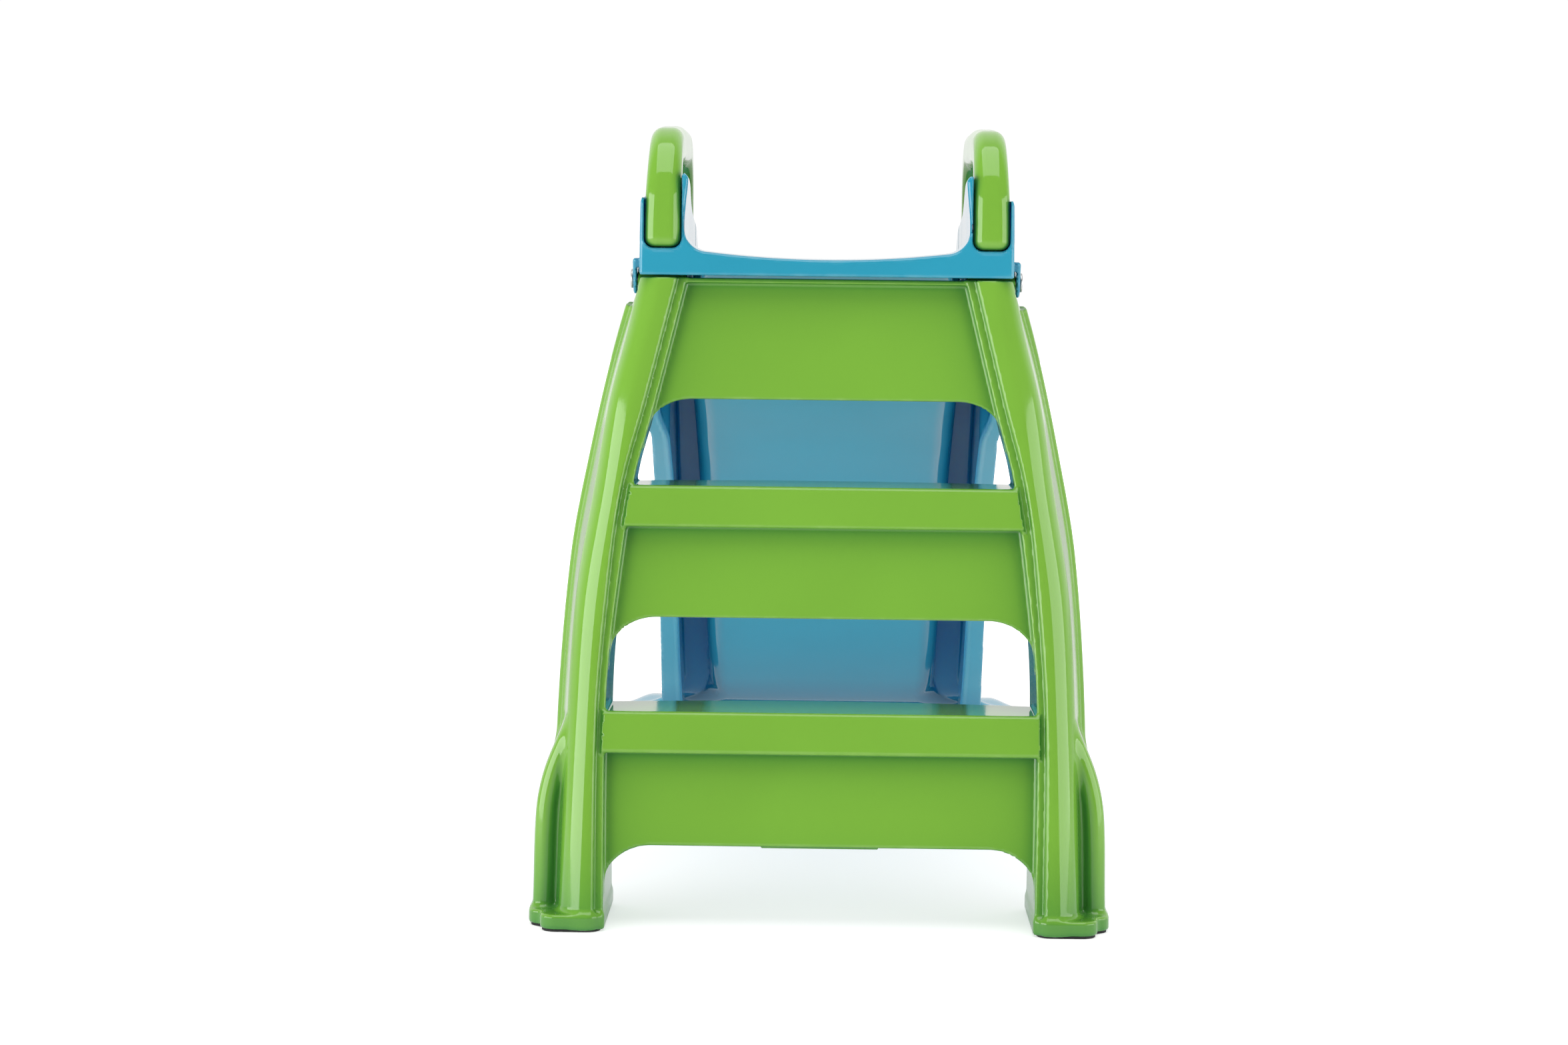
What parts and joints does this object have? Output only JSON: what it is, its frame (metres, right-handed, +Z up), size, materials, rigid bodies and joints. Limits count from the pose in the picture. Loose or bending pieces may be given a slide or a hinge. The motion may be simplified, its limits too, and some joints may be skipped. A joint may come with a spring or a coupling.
{
  "type": "folding toddler slide",
  "caption": "Small folding play slide: moulded ladder with open steps hinged under a waved chute with raised sides, looped handrails and a flared exit.",
  "frame": {"origin": "bottom centre of the bounding box, on the floor midway between the ladder's front feet and the exit's end", "axes": "+X to the right of a child climbing up, +Y from the ladder towards the exit, +Z up"},
  "size_m": [0.457, 0.991, 0.584],
  "materials": {
    "blue_moulding": "glossy moulded polyethylene, mid blue",
    "green_moulding": "glossy moulded polyethylene, lime green",
    "pin_steel": "turned zinc-plated steel",
    "screw_steel": "zinc-plated self-tapping screw",
    "pad_rubber": "matt black non-slip rubber"
  },
  "bodies": {
    "slide": {"slide_body": "blue_moulding", "handrail_left": "green_moulding", "handrail_right": "green_moulding", "handrail_screw_left_near": "screw_steel", "handrail_screw_left_far": "screw_steel", "handrail_screw_right_near": "screw_steel", "handrail_screw_right_far": "screw_steel", "hinge_pin_left": "pin_steel", "hinge_pin_right": "pin_steel", "hinge_cap_left": "blue_moulding", "hinge_cap_right": "blue_moulding", "exit_pad_left": "pad_rubber", "exit_pad_right": "pad_rubber"},
    "ladder": {"ladder_frame": "green_moulding", "latch_bracket": "green_moulding", "latch_pin": "pin_steel", "latch_screw_left": "screw_steel", "latch_screw_right": "screw_steel", "foot_pad_left": "pad_rubber", "foot_pad_right": "pad_rubber"},
    "latch": {"latch_lever": "green_moulding"}
  },
  "joints": [
    {"name": "ladder_fold", "type": "hinge", "parent": "slide", "child": "ladder", "pos_m": [0, -0.4035, 0.469], "axis": [1, 0, 0], "range_deg": [0, 61]},
    {"name": "latch_press", "type": "hinge", "parent": "ladder", "child": "latch", "pos_m": [0, -0.4415, 0.092], "axis": [1, 0, 0], "range_deg": [-10, 0]}
  ]
}
